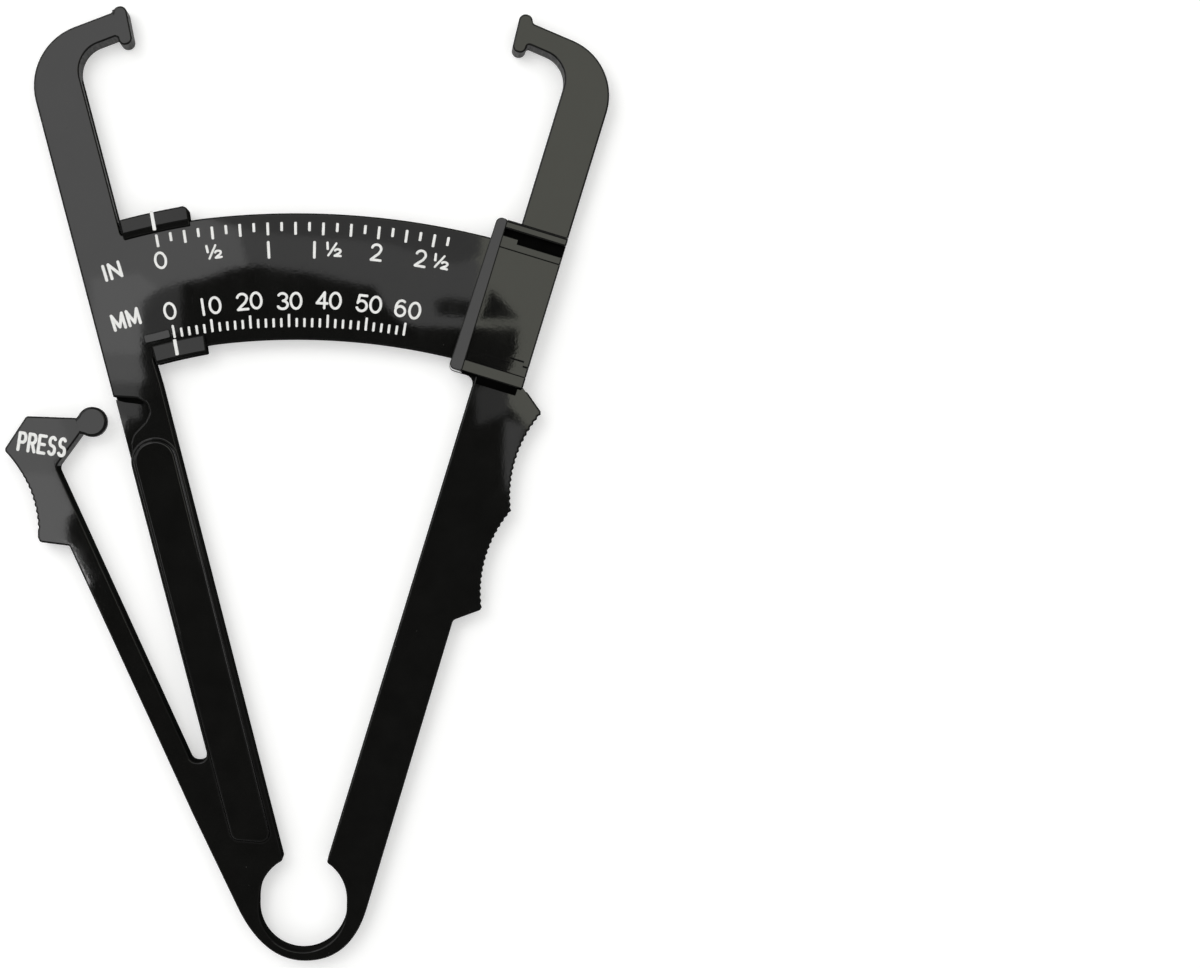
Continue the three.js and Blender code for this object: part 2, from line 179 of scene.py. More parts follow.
def mapped(outline, angle=LEAN):
    """An outline from leaning coordinates to ring coordinates, on the right side."""
    return [(*turned(point[:2], angle), point[2]) for point in outline]


def mirrored(outline):
    """The same outline on the other side, its lines still the same way round."""
    turned_back = outline[::-1]
    return [(-x, y, outline[len(outline) - 2 - i][2]) for i, (x, y, _) in enumerate(turned_back)]


def inset(outline, depth, side):
    """The outline drawn inwards by depth along the lines that round this side."""
    count = len(outline)
    points = [Vector(point[:2]) for point in outline]
    lines = []
    for i in range(count):
        along = (points[(i + 1) % count] - points[i]).normalized()
        lines.append((Vector((-along.y, along.x)), depth if side in outline[i][2] else 0))
    moved = []
    for i, point in enumerate(points):
        (n1, d1), (n2, d2) = lines[i - 1], lines[i]
        cross = n1.x * n2.y - n1.y * n2.x
        if abs(cross) < (0.03 if d1 == d2 else 0.4) or n1.dot(n2) < -0.9:
            moved.append(point + (n1 + n2).normalized() * (d1 + d2) / 2)
        else:
            moved.append(point + Vector((d1 * n2.y - d2 * n1.y, d2 * n1.x - d1 * n2.x)) / cross)
    return moved


def rows_of(bottom, top, bottom_round=0.0, top_round=0.0, steps=4):
    """Rows (height, depth, tilt, side) of a slab's wall from its bottom to its top."""
    rows = []
    for i in range(steps + 1 if bottom_round else 1):
        tilt = -90 + 90 * i / steps if bottom_round else 0
        a = math.radians(tilt)
        rows.append((bottom + bottom_round * (1 + math.sin(a)), bottom_round * (1 - math.cos(a)), a, "b"))
    for i in range(steps + 1 if top_round else 1):
        tilt = 90 * i / steps if top_round else 0
        a = math.radians(tilt)
        rows.append((top - top_round * (1 - math.sin(a)), top_round * (1 - math.cos(a)), a, "t"))
    return rows


def raised_rows(bottom, top, foot_round, top_round, steps=4):
    """Rows of a raised panel: a hollow fillet at its foot and a round along its top."""
    rows = []
    for i in range(steps + 1):
        a = math.radians(90 - 90 * i / steps)
        rows.append((bottom + foot_round * (1 - math.sin(a)), -foot_round * (1 - math.cos(a)), a, "t"))
    return rows + rows_of(rows[-1][0], top, 0, top_round, steps)[1:]


# Where the photograph's camera stood. It also decides, once for each wall, whether painted shade covers it:
# walls that face it take one of the shaded copies of the plastic
CAMERA_HEIGHT = 456
CAMERA = Vector((18.4, 73.6, CAMERA_HEIGHT))
UP = Vector((0, 0, 1))


class Shell:
    """Closed bodies gathered into one mesh, with their own normals.

    walls holds, for each face, the direction that decides whether it may take painted shade, or None.
    """

    def __init__(self):
        self.points, self.faces, self.normals, self.walls = [], [], [], []

    def add(self, outline, rows, place=Matrix.Identity(4), crown=(0, 0), coated=False):
        """Adds a slab. crown leans the normals of its top. The last flag lets level faces take painted shade
        too.
        """
        turn = place.to_3x3()
        count = len(outline)
        flat = [Vector(point[:2]) for point in outline]
        out = []
        for i in range(count):
            along = flat[(i + 1) % count] - flat[i]
            out.append(Vector((along.y, -along.x)))
        soft = [out[i - 1].angle(out[i], 0) < math.radians(38) for i in range(count)]

        def normal(vertex, line, tilt, side):
            if side not in outline[line][2]:
                tilt = 0
            away = (out[vertex - 1] + out[vertex] if soft[vertex] else out[line]).normalized()
            return turn @ Vector((*(away * math.cos(tilt)), math.sin(tilt)))

        starts = []
        rings = []
        for height, depth, tilt, side in rows:
            ring = inset(outline, depth, side) if depth else flat
            starts.append(len(self.points))
            rings.append(ring)
            self.points += [place @ Vector((point.x, point.y, height)) for point in ring]
        for k in range(len(rows) - 1):
            low, high = rows[k], rows[k + 1]
            for i in range(count):
                j = (i + 1) % count
                self.faces.append((starts[k] + i, starts[k] + j, starts[k + 1] + j, starts[k + 1] + i))
                around = [normal(i, i, *low[2:]), normal(j, i, *low[2:]), normal(j, i, *high[2:]),
                          normal(i, i, *high[2:])]
                mean = sum(around, Vector()) / 4
                self.walls.append(UP if coated else mean if -0.95 < mean.z < 0.75 else None)
                self.normals += around
        for k, up in ((0, False), (-1, True)):
            for a, b, c in tessellate_polygon([[Vector((*point, 0)) for point in rings[k]]]):
                area = (rings[k][b] - rings[k][a]).cross(rings[k][c] - rings[k][a])
                if abs(area) < 1e-9:
                    continue
                face = (a, b, c) if (area > 0) == up else (a, c, b)
                self.faces.append(tuple(starts[k] + v for v in face))
                self.walls.append(UP if coated else None)
                self.normals += [turn @ Vector((*crown, 1) if up else (0, 0, -1))] * 3
        return self

    def made(self, name, material, *wall_shades):
        """The piece as an object, with painted shade, given as (material, test), on the walls that the
        photograph shows.

        A wall takes the first shaded material whose test of its centre is true.
        """
        def shade_of(wall, face):
            centre = sum((self.points[v] for v in face), Vector()) / len(face)
            if wall is None or wall.dot(CAMERA - centre) <= 0:
                return 0
            return next((i for i, (_, test) in enumerate(wall_shades, 1) if test(centre)), 0)

        mesh = bpy.data.meshes.new(name)
        mesh.from_pydata([RING + point * MM for point in self.points], [], self.faces)
        mesh.polygons.foreach_set("use_smooth", [True] * len(mesh.polygons))
        mesh.update()
        mesh.normals_split_custom_set([normal.normalized() for normal in self.normals])
        mesh.materials.append(material)
        for shade_material, _ in wall_shades:
            mesh.materials.append(shade_material)
        if wall_shades:
            indices = [shade_of(wall, face) for wall, face in zip(self.walls, self.faces)]
            mesh.polygons.foreach_set("material_index", indices)
        obj = bpy.data.objects.new(name, mesh)
        bpy.context.scene.collection.objects.link(obj)
        return obj


def slab(outline, bottom, top, bottom_round=0.0, top_round=0.0):
    """A new shell of one slab."""
    return Shell().add(outline, rows_of(bottom, top, bottom_round, top_round))


# Materials
class Nodes:
    """A material's nodes, made and linked by name."""

    def __init__(self, name):
        self.material = bpy.data.materials.new(name)
        self.material.use_nodes = True
        self.tree = self.material.node_tree
        self.shader = self.tree.nodes["Principled BSDF"]

    def feed(self, socket, value):
        """Links another node's output to an input, or sets the value on the input."""
        if isinstance(value, bpy.types.NodeSocket):
            self.tree.links.new(value, socket)
        else:
            socket.default_value = (*value, 1) if socket.type == "RGBA" else value

    def make(self, kind, inputs=(), **settings):
        node = self.tree.nodes.new("ShaderNode" + kind)
        for key, value in settings.items():
            setattr(node, key, value)
        for key, value in dict(inputs).items():
            self.feed(node.inputs[key], value)
        return node

    def link(self, socket, name):
        """Links a node's output to the named input of the shader."""
        self.tree.links.new(socket, self.shader.inputs[name])

    def noise(self, where, scale, detail=2.0, rough=0.5):
        node = self.make("TexNoise", {"Vector": where, "Scale": scale, "Detail": detail, "Roughness": rough})
        return node.outputs["Fac"]

    def ramp(self, value, *stops):
        """A colour ramp through stops (place, colour), where a colour may be one grey level."""
        node = self.make("ValToRGB", {"Fac": value})
        ramp = node.color_ramp
        while len(ramp.elements) < len(stops):
            ramp.elements.new(0.5)
        for element, (place, colour) in zip(ramp.elements, stops):
            element.position = place
            element.color = (*colour, 1) if isinstance(colour, tuple) else (colour, colour, colour, 1)
        return node.outputs["Color"]

    def mixed(self, share, first, second):
        """Two colours mixed. 0, 6 and 7 are the colour mix's factor and its colours, and 2 its result."""
        return self.make("Mix", {0: share, 6: first, 7: second}, data_type="RGBA").outputs[2]

    def sum(self, first, second, kind="ADD"):
        """Two values added, or joined by another kind of maths."""
        return self.make("Math", {0: first, 1: second}, operation=kind).outputs[0]


def black_plastic(name, gloss=0.5, rough=(0.02, 0.035)):
    """Glossy moulded plastic: slow waves from the mould, fine orange peel, faint rubs, sparse dust."""
    n = Nodes(name)
    where = n.make("TexCoord").outputs["Object"]
    waves = n.noise(where, 60, 1.5)
    peel = n.noise(where, 2400, 2.0)
    clouds = n.noise(where, 240, 4.0, 0.6)
    stretched = n.make("Mapping", {"Vector": where, "Rotation": (0, 0, 0.5), "Scale": (5200, 240, 1)})
    rubs = n.ramp(n.noise(stretched.outputs[0], 1.0, 3.0), (0.62, 0.0), (0.74, 1.0))
    dust = n.ramp(n.noise(where, 2200, 0.0), (0.88, 0.0), (0.92, 1.0))
    colour = n.ramp(clouds, (0.3, (0.0036, 0.0036, 0.0033)), (0.7, (0.0052, 0.0052, 0.0048)))
    n.link(n.mixed(n.sum(dust, 0.35, "MULTIPLY"), colour, (0.12, 0.12, 0.11)), "Base Color")
    level = n.ramp(clouds, (0.3, rough[0]), (0.7, rough[1]))
    level = n.sum(level, n.sum(rubs, 0.04, "MULTIPLY"))
    n.link(n.sum(level, n.sum(dust, 0.4, "MULTIPLY")), "Roughness")
    slow = n.make("Bump", {"Height": waves, "Distance": 0.00002, "Strength": 0.35})
    fine = n.make("Bump", {"Height": peel, "Distance": 0.000002, "Strength": 0.3, "Normal": slow.outputs[0]})
    n.link(fine.outputs[0], "Normal")
    n.shader.inputs["IOR"].default_value = 1.5
    n.shader.inputs["Specular IOR Level"].default_value = gloss
    return n.material


def shaded_side_plastic(name, light, gloss):
    """The same plastic on the mould's drawn side walls, as painted shade: its tone, scaled by light, stands
    in for the shade these walls show; matt, with fine scratches along the draw.
    """
    n = Nodes(name)
    where = n.make("TexCoord").outputs["Object"]
    clouds = n.noise(where, 300, 4.0, 0.6)
    drawn = n.make("Mapping", {"Vector": where, "Scale": (3000, 3000, 300)})
    lines = n.noise(drawn.outputs[0], 1.0, 2.0)
    low, high = [tuple(light * part for part in colour)
                 for colour in ((0.005, 0.005, 0.0047), (0.0085, 0.0085, 0.008))]
    n.link(n.ramp(clouds, (0.3, low), (0.7, high)), "Base Color")
    n.link(n.ramp(lines, (0.3, 0.42), (0.7, 0.55)), "Roughness")
    bump = n.make("Bump", {"Height": lines, "Distance": 0.000004, "Strength": 0.5})
    n.link(bump.outputs[0], "Normal")
    n.shader.inputs["Specular IOR Level"].default_value = gloss
    return n.material


def white_paint(name):
    """Filled white marking paint, a little uneven and dusty."""
    n = Nodes(name)
    where = n.make("TexCoord").outputs["Object"]
    clouds = n.noise(where, 700, 4.0, 0.6)
    specks = n.ramp(n.noise(where, 3800, 1.0), (0.66, 0.0), (0.74, 1.0))
    colour = n.ramp(clouds, (0.3, (0.74, 0.74, 0.72)), (0.7, (0.86, 0.86, 0.845)))
    n.link(n.mixed(n.sum(specks, 0.25, "MULTIPLY"), colour, (0.45, 0.45, 0.43)), "Base Color")
    n.link(n.ramp(clouds, (0.3, 0.42), (0.7, 0.6)), "Roughness")
    bump = n.make("Bump", {"Height": clouds, "Distance": 0.00002, "Strength": 0.4})
    n.link(bump.outputs[0], "Normal")
    return n.material


moulding = black_plastic("black_moulding")
clip_plastic = black_plastic("slider_moulding", 0.33, (0.08, 0.13))
# Three copies of the side plastic at different tones, each painted shade for the walls it covers: lighter low
# on the arms, plain on the jaws, darkest in the window slot and under the housing
painted_wall_shade = shaded_side_plastic("painted_wall_shade", 1.7, 0.0)
painted_slot_shade_walls = shaded_side_plastic("painted_slot_shade", 0.3, 0.0)
painted_jaw_wall_shade = shaded_side_plastic("painted_jaw_wall_shade", 1.0, 0.08)
paint = white_paint("white_marks")


# Tests of a face's centre, in ring coordinates, that choose its painted shade
def below_jaws(centre):
    """Below the part of the arms where walls are painted a lighter shade."""
    return centre.y < 125


def below_tab(centre):
    """Below the press lever's thumb tab."""
    return centre.y < 75.5


def in_window(centre):
    """In the sunk window at the upper end of the housing's front plate."""
    return centre.z < 6.95 and from_ring(centre[:2])[1] > 119.6


def anywhere(centre):
    return True


# Painted shade for walls that face the camera: the first shaded material whose test holds covers the wall
ARM_WALL_SHADES = (painted_wall_shade, below_jaws), (painted_jaw_wall_shade, anywhere)
LEVER_WALL_SHADES = (painted_wall_shade, below_tab), (painted_jaw_wall_shade, anywhere)
PLAIN_WALL_SHADE = (painted_wall_shade, anywhere)
SLOT_WALL_SHADE = (painted_slot_shade_walls, anywhere)


# Outline parts shared by both arms, in arm coordinates, going up the outside and down the inside
def jaw_corners(inner, outer, beak_top, bend):
    """The jaw with its beak and its contact pad."""
    def face(out, along):
        return from_face((out, along))

    back_top, back_low = face(PAD_THICKNESS, beak_top), face(PAD_THICKNESS, BEAK_LOW)
    return [
        (outer, back_top[1] - 1.8, bend),
        (*back_top, 0.55),
        (*face(PAD_THICKNESS, PAD_TOP), 1.15),
        (*face(0, PAD_TOP), 1.15),
        (*face(0, PAD_LOW), 1.15),
        (*face(PAD_THICKNESS, PAD_LOW), 1.15),
        (*back_low, 0.45),
        (inner, back_low[1] - 0.9, 5.0),
    ]


def claw_corners(inner, shift):
    """From the claw's tip down the hole's edge to the start of the bow."""
    centre = (shift, CLAW_HEIGHT)
    out, along = from_ring(centre)
    tip = (inner, along + math.sqrt(HOLE ** 2 - (inner - out) ** 2))
    x, y = turned(tip, LEAN)
    start = math.degrees(math.atan2(y - CLAW_HEIGHT, x - shift))
    edge = [from_ring(point) for point in arc(centre, HOLE, start, 0, 4)]
    below = from_ring((HOLE + shift, 0))
    return [(*edge[0], CLAW_TIP_ROUND), *edge[2:], (*below, 0, "")]


# Right side
def grip_corners():
    """Finger grip: two hollows with fine teeth between three tips."""
    first, last, tip = 58.6, 93.4, 14.05
    length = (last - first) / 2
    depth, tooth, teeth, fine = 1.8, 0.22, 17, 6
    radius = ((length / 2) ** 2 + depth ** 2) / (2 * depth)
    points = [(HANDLE_OUTER, 55.0, 0.9), (tip - 0.15, 58.0, 0.2)]
    for i in range(2 * teeth * fine + 1):
        along = i / (teeth * fine)
        middle = (along % 1 - 0.5) * length
        hollow = math.sqrt(radius ** 2 - middle ** 2) - (radius - depth)
        wave = (1 - math.cos(2 * math.pi * i / fine)) / 2 * tooth
        points.append((tip - hollow - wave, first + along * length))
    return points + [(tip - 0.15, 93.9, 0.2), (RIGHT_OUTER, 97.1)]


RIGHT_RING = from_ring((RING_OUTER / math.cos(LEAN), 0))
right_jaw = jaw_corners(RIGHT_INNER, RIGHT_OUTER, RIGHT_BEAK, RIGHT_BEND)
right_low = mapped(rounded([
    RIGHT_RING,
    *grip_corners(),
    *right_jaw,
    (RIGHT_INNER, HOUSING_TOP, 0.7),
    (HOUSING_INNER + 0.5, HOUSING_TOP, 1.0),
    (HOUSING_INNER, HOUSING_FOOT, 1.0),
    (RIGHT_INNER, HOUSING_FOOT, 1.5),
    *claw_corners(RIGHT_INNER, -HOLE_LEFT),
]))
right_handle_top = mapped(rounded([
    RIGHT_RING,
    *grip_corners()[:-1],
    (10.7, HOUSING_FOOT, 0, ""),
    (RIGHT_INNER, HOUSING_FOOT),
    *claw_corners(RIGHT_INNER, -HOLE_LEFT),
]))
right_arm_top = mapped(rounded([
    (RIGHT_OUTER, HOUSING_TOP),
    *right_jaw,
    (RIGHT_INNER, HOUSING_TOP, 0, ""),
]))
right = slab(right_low, 0, BEHIND_SCALE, EDGE)
right.add(right_handle_top, rows_of(BEHIND_SCALE, ARM_TOP, 0, EDGE))
right.add(right_arm_top, rows_of(BEHIND_SCALE, ARM_TOP, 0, EDGE))
right_moulding = right.made("right_arm_moulding", moulding, *ARM_WALL_SHADES)
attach(right_moulding, "right_arm")
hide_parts("right_handle", "finger_grip", "housing_back", "right_arm", "right_jaw",
            "right_pad")

# Housing front, its bars drawn across the right arm: local x along the arm, y up, z out
ACROSS = Matrix((
    (math.sin(LEAN), 0, math.cos(LEAN), 0),
    (math.cos(LEAN), 0, -math.sin(LEAN), 0),
    (0, 1, 0, 0),
    (0, 0, 0, 1),
))


def bar(profile, end_round):
    """A bar from the rib to the arm's outer edge."""
    return Shell().add(rounded(profile), rows_of(RIB_OUT, RIGHT_OUTER, 0, end_round), ACROSS)


rib_outline = mapped(rounded([
    (RIB_OUT, HOUSING_FOOT, 0.5),
    (RIB_OUT, HOUSING_TOP, 0.5),
    (HOUSING_INNER + 0.5, HOUSING_TOP, 1.0),
    (HOUSING_INNER, HOUSING_FOOT, 1.0),
]))
rib_foot = mapped(rounded([
    (RIB_OUT, HOUSING_FOOT), (RIB_OUT, HOUSING_FOOT + 1.2, 0, ""),
    (HOUSING_INNER, HOUSING_FOOT + 1.2), (HOUSING_INNER, HOUSING_FOOT, 1.0)]))
rib_head = mapped(rounded([
    (RIB_OUT, TOP_WALL), (RIB_OUT, HOUSING_TOP),
    (HOUSING_INNER + 0.5, HOUSING_TOP, 1.0), (HOUSING_INNER + 0.44, TOP_WALL)]))
rib = Shell().add(rib_outline, rows_of(OVER_SCALE, HOUSING_HEIGHT, 0, 0.2), crown=(-0.05, 0.06))
rib.add(rib_foot, rows_of(BEHIND_SCALE, OVER_SCALE))
rib.add(rib_head, rows_of(BEHIND_SCALE, OVER_SCALE))
rib_piece = rib.made("reading_rib_moulding", moulding)
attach(rib_piece, "right_arm")
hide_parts("reading_rib")


def plate_profile(raise_from, plate_end):
    """The front plate along the arm: low strip, raised face, low strip and the window's sunk floor."""
    window_end = TOP_BAR_FOOT + 0.3
    raise_to = 119.0
    return [
        (PLATE_FOOT, OVER_SCALE, 0, ""), (TOP_WALL, OVER_SCALE, 0, ""), (TOP_WALL, BEHIND_SCALE, 0, ""),
        (window_end, BEHIND_SCALE, 0, ""), (window_end, WINDOW_FLOOR, 0),
        (plate_end, WINDOW_FLOOR, 0), (plate_end, PLATE_STRIP_HEIGHT, 0.2),
        (raise_to, PLATE_STRIP_HEIGHT, 0.1), (raise_to, PLATE_HEIGHT, 0.2), (raise_from, PLATE_HEIGHT, 0.2),
        (raise_from, PLATE_STRIP_HEIGHT - 0.005, 0.1), (PLATE_FOOT, PLATE_STRIP_HEIGHT + 0.005, 0, "")]


# The plate's parts (start, end, raise_from, plate_end, end_round) across the arm, with a notch at its foot
plate = Shell()
for start, end, raise_from, plate_end, end_round in (
        (RIB_OUT, 1.45, 100.3, 121.1, 0), (1.45, 6.2, 100.3, 120.3, 0), (6.2, 8.6, 101.1, 120.3, 0),
        (8.6, RIGHT_OUTER, 100.3, 120.3, 0.3)):
    plate.add(rounded(plate_profile(raise_from, plate_end)), rows_of(start, end, 0, end_round), ACROSS,
              coated=True)
# The window's sunk floor and its walls are painted in deep shade, the darkest copy of the plastic
plate_piece = plate.made("housing_front_plate", moulding, (painted_slot_shade_walls, in_window))
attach(plate_piece, "right_arm")
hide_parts("housing_front")

bottom = bar([
    (96.5, BEHIND_SCALE), (97.6, BEHIND_SCALE), (97.6, OVER_SCALE), (PLATE_FOOT, OVER_SCALE),
    (PLATE_FOOT, PLATE_HEIGHT, 0.25), (96.6, 7.5, 0.2), (96.5, 6.2, 0)], 0.3)
bottom.add(rounded([(95.2, ARM_TOP), (97.0, ARM_TOP), (97.0, 7.42, 0.05), (96.6, 7.42, 0.05)]),
           rows_of(RIGHT_INNER + 0.3, RIGHT_OUTER - 0.8, 0.1, 0.1), ACROSS)
# Its walls and the slope below it are painted in deep shade, the dark band under the housing
bottom_piece = bottom.made("housing_bottom_bar", moulding, SLOT_WALL_SHADE)
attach(bottom_piece, "right_arm")
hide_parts("housing_bottom_rail")

top = bar([
    (TOP_BAR_FOOT, BEHIND_SCALE), (HOUSING_TOP, BEHIND_SCALE),
    (HOUSING_TOP, HOUSING_HEIGHT, 0.6), (TOP_BAR_FOOT, HOUSING_HEIGHT, 0.3)], 0.3)
top_piece = top.made("housing_top_bar", moulding)
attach(top_piece, "right_arm")
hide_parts("housing_top_rail")

# Left side
LEFT_ROOT = [
    from_ring((LEFT_BOW, 0)),
    (*from_lever((LEVER_OUTER, LEVER_FOOT)), 3.0),
    (*from_lever((LEVER_OUTER, LEVER_ROOT)), 0, ""),
    from_lever((LEVER_INNER, LEVER_ROOT)),
    (*from_ring(line_at_height(LEVER_LEAN, LEVER_INNER, SLOT_BOTTOM)), 1.45),
    (*from_ring(line_at_height(LEAN, OUTER, SLOT_BOTTOM)), 1.45),
]
LEFT_CLAW = [(LEFT_INNER, 98.0), (1.1, 94.0, 3.0), *claw_corners(1.6, HOLE_LEFT)]


def socket_corners():
    """The click socket opens through the handle's outer edge and runs out down along it."""
    return [(OUTER, 80.5), (9.2, 82.6, 3.0), (8.85, 85.2, 1.0), (8.0, 86.6, 1.5), (5.3, 88.3, 1.2),
            (4.25, 89.6, 1.0), (4.35, 91.3, 1.0), (5.7, 92.5, 1.2), (OUTER, 93.8, 0)]


def groove_corners():
    """The deep groove at the socket's upper end, under which the click ball's edge catches."""
    return [(OUTER, 93.35), (8.3, 92.55, 1.5), (6.4, 91.8, 1.5), (5.2, 91.3, 0.3), (4.9, 92.0, 0.3),
            (5.7, 92.5, 1.0), (OUTER, 93.8, 0)]


def fan_radius(reach, angle):
    """How far an arc round the printed scale's own centre is from the ring's centre."""
    x, y = math.sin(angle), math.cos(angle)
    along = x * FAN[0] + y * FAN[1]
    return along + math.sqrt(along ** 2 + reach ** 2 - FAN[0] ** 2 - FAN[1] ** 2)


def clock(radius, angle):
    """A place by its distance from the ring's centre and its angle clockwise from the centre line."""
    return (radius * math.sin(angle), radius * math.cos(angle))


def arc_corners():
    """The scale's outline where it leaves the left arm, as seen from that arm."""
    def seen(radius, angle):
        x, y = clock(radius, angle)
        return turned((-x, y), -LEAN)

    def edge(reach, most):
        start = -LEAN - math.asin(LEFT_INNER / most)
        end = LEAN + math.asin(9.0 / most)
        turns = [start + (end - start) * i / 60 for i in range(61)]
        return [seen(min(most, fan_radius(reach, turn)), turn) for turn in turns]

    upper, lower = edge(136.5, 120.4), edge(114.7, 98.6)[::-1]
    upper[0] = (*upper[0], 0.5)
    lower[-1] = (*lower[-1], 0.5)
    return upper, lower


def on_left(corners):
    """An outline of the left arm from corners in arm coordinates."""
    return mirrored(mapped(rounded(corners)))


left_jaw = jaw_corners(LEFT_INNER, OUTER, LEFT_BEAK, LEFT_BEND)
upper_edge, lower_edge = arc_corners()
groove_bed = [(OUTER - 0.1, 93.2), *groove_corners()[1:-1], (OUTER - 0.1, 93.8, 0)]
left = slab(on_left([*LEFT_ROOT, *left_jaw, *LEFT_CLAW]), 0, GROOVE_FLOOR, EDGE)
left.add(on_left([*LEFT_ROOT, *groove_corners(), *left_jaw, *LEFT_CLAW]), rows_of(GROOVE_FLOOR, SOCKET_FLOOR))
# The groove's floor takes painted shade, so that it reads dark like a deep groove
left.add(on_left(groove_bed), rows_of(GROOVE_FLOOR - 0.1, GROOVE_FLOOR + 0.05), coated=True)
left.add(on_left([*LEFT_ROOT, *socket_corners(), *left_jaw, *LEFT_CLAW]), rows_of(SOCKET_FLOOR, SCALE_BACK))
left.add(on_left([*LEFT_ROOT, *socket_corners(), *left_jaw, *upper_edge, *lower_edge, *LEFT_CLAW[1:]]),
         rows_of(SCALE_BACK, ARM_TOP, 0, EDGE))
# The low strip on the scale, left of its zero line
strip = [clock(radius, math.radians(angle)) for radius, angle in (
    (101.25, -16.95), (101.15, -15.6), (101.15, -14.35), (102.7, -14.35), (102.65, -15.6), (102.75, -16.95))]
left.add(rounded([(*point, 0.35) if i % 3 != 1 else point for i, point in enumerate(strip)]),
         rows_of(ARM_TOP - 0.1, ARM_TOP + 0.35, 0, 0.15), crown=(-0.03, 0.1))
left_moulding = left.made("left_arm_moulding", moulding, *ARM_WALL_SHADES)
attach(left_moulding, "left_arm")
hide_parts("left_handle", "left_arm", "left_jaw", "left_pad", "scale_plate")

# Raised panel on the left handle
panel_outer, panel_top = OUTER - 0.5, 84.8
panel = Shell().add(on_left([
    (panel_outer, 14.6, 1.4), (panel_outer, panel_top, 3.55), (1.75, panel_top, 3.55), (2.6, 12.2, 1.6),
]), raised_rows(ARM_TOP, ARM_TOP + 0.8, 0.45, 0.5))
panel_piece = panel.made("raised_panel", moulding)
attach(panel_piece, "left_arm")
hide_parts("handle_panel")


# Spring bow round the lower half of the hole
def bow_side(outside, slope):
    """A curve from the arm's outer edge at the ring's middle down to the bottom of the bow."""
    points = []
    for i in range(25):
        t = i / 24
        x = outside * (1 - t) ** 2 + 2 * t * (1 - t) * (outside - BOW_DROP * slope)
        y = -2 * t * (1 - t) * BOW_DROP - t * t * BOW_DROP
        points.append((x, y))
    return points


foot = turned((LEVER_OUTER, LEVER_FOOT), LEVER_LEAN)
left_slope = (foot[0] - LEFT_BOW) / foot[1]
bow_right = bow_side(RING_OUTER / math.cos(LEAN), math.tan(LEAN))
bow_left = [(-x, y) for x, y in bow_side(LEFT_BOW, left_slope)]
hole_half = arc((-HOLE_LEFT, 0), HOLE, 180, 360, 4)
bow = rounded([
    *bow_left,
    *bow_right[::-1][1:-1],
    (*bow_right[0], 0, ""),
    *hole_half[::-1][:-1],
    (*hole_half[0], 0, ""),
])
bow_piece = slab(bow, 0, ARM_TOP, EDGE, EDGE).made("spring_bow_moulding", moulding, PLAIN_WALL_SHADE)
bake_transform(bow_piece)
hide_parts("spring_bow")


# Press lever, in lever coordinates
def on_lever(corners):
    """An outline of the press lever from corners in its leaning coordinates."""
    return mirrored(mapped(rounded(corners), LEVER_LEAN))


root_piece = slab(on_lever([
    (LEVER_OUTER, LEVER_ROOT), (LEVER_OUTER, FLEXURE_END, 0, ""),
    (LEVER_INNER, FLEXURE_END), (LEVER_INNER, LEVER_ROOT, 0, "")]), 0, ARM_TOP, EDGE, EDGE
).made("lever_root_moulding", moulding, PLAIN_WALL_SHADE)
middle = (LEVER_INNER + LEVER_OUTER) / 2
ends = [turned((middle, along), LEVER_LEAN) for along in (LEVER_ROOT, FLEXURE_END)]
ends = [RING + Vector((-x, y, 0)) * MM for x, y in ends]
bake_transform(root_piece)
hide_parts("lever_flexure")


def tab_along(share):
    """A height on the thumb tab, as a share of the tab's."""
    return TAB_FOOT + TAB_HEIGHT * share


NECK_TOP = (LEVER_INNER - 6.5, tab_along(0.843))
NECK_LOW = (LEVER_INNER - 6.149, tab_along(0.726))
BALL_RADIUS = 2.6


def thumb_corners():
    """The thumb's hollow, with fine teeth that fade out towards the tip."""
    start = Vector((TAB_OUTER, tab_along(0.155)))
    end = Vector((TAB_OUTER - 0.95, tab_along(0.852)))
    depth, teeth, fine = 1.65, 15, 6
    half = (end - start).length / 2
    radius = (half ** 2 + depth ** 2) / (2 * depth)
    along = (end - start).normalized()
    inward = Vector((-along.y, along.x))
    points = []
    for i in range(6, teeth * fine - 5):
        t = i / (teeth * fine)
        across = (t * 2 - 1) * half
        hollow = math.sqrt(radius ** 2 - across ** 2) - (radius - depth)
        wave = (1 - math.cos(2 * math.pi * i / fine)) / 2 * 0.2 * max(0.0, min(1.0, (0.75 - t) * 4))
        points.append(tuple(start.lerp(end, t) + inward * (hollow + wave)))
    return points


tab_corners = [
    (LEVER_OUTER, FLEXURE_END),
    (LEVER_OUTER + 0.1, TAB_FOOT, 0.4),
    (TAB_OUTER, tab_along(0.116), 0.7),
    (TAB_OUTER, tab_along(0.155), 0.1),
    *thumb_corners(),
    (TAB_OUTER - 0.95, tab_along(0.852), 0.7),
    (LEVER_INNER + 1.045, tab_along(1) + 0.3, 0.7),
    (NECK_TOP[0], NECK_TOP[1] + 0.15, 0, ""),
    NECK_LOW,
    (LEVER_INNER, tab_along(0.578), 1.2),
    (LEVER_INNER, FLEXURE_END, 0, ""),
]
ball_middle = Vector(NECK_LOW).lerp(Vector(NECK_TOP), 0.5)
across_neck = (Vector(NECK_TOP) - Vector(NECK_LOW)).normalized()
ball_centre = ball_middle + Vector((-across_neck.y, across_neck.x)) * 2.55
to_top = math.degrees(math.atan2(NECK_TOP[1] - ball_centre.y, NECK_TOP[0] - ball_centre.x))
to_low = math.degrees(math.atan2(NECK_LOW[1] - ball_centre.y, NECK_LOW[0] - ball_centre.x))
ball_corners = [
    NECK_TOP,
    *arc(ball_centre, BALL_RADIUS, to_top + 14, to_low + 346),
    (*NECK_LOW, 0, ""),
]
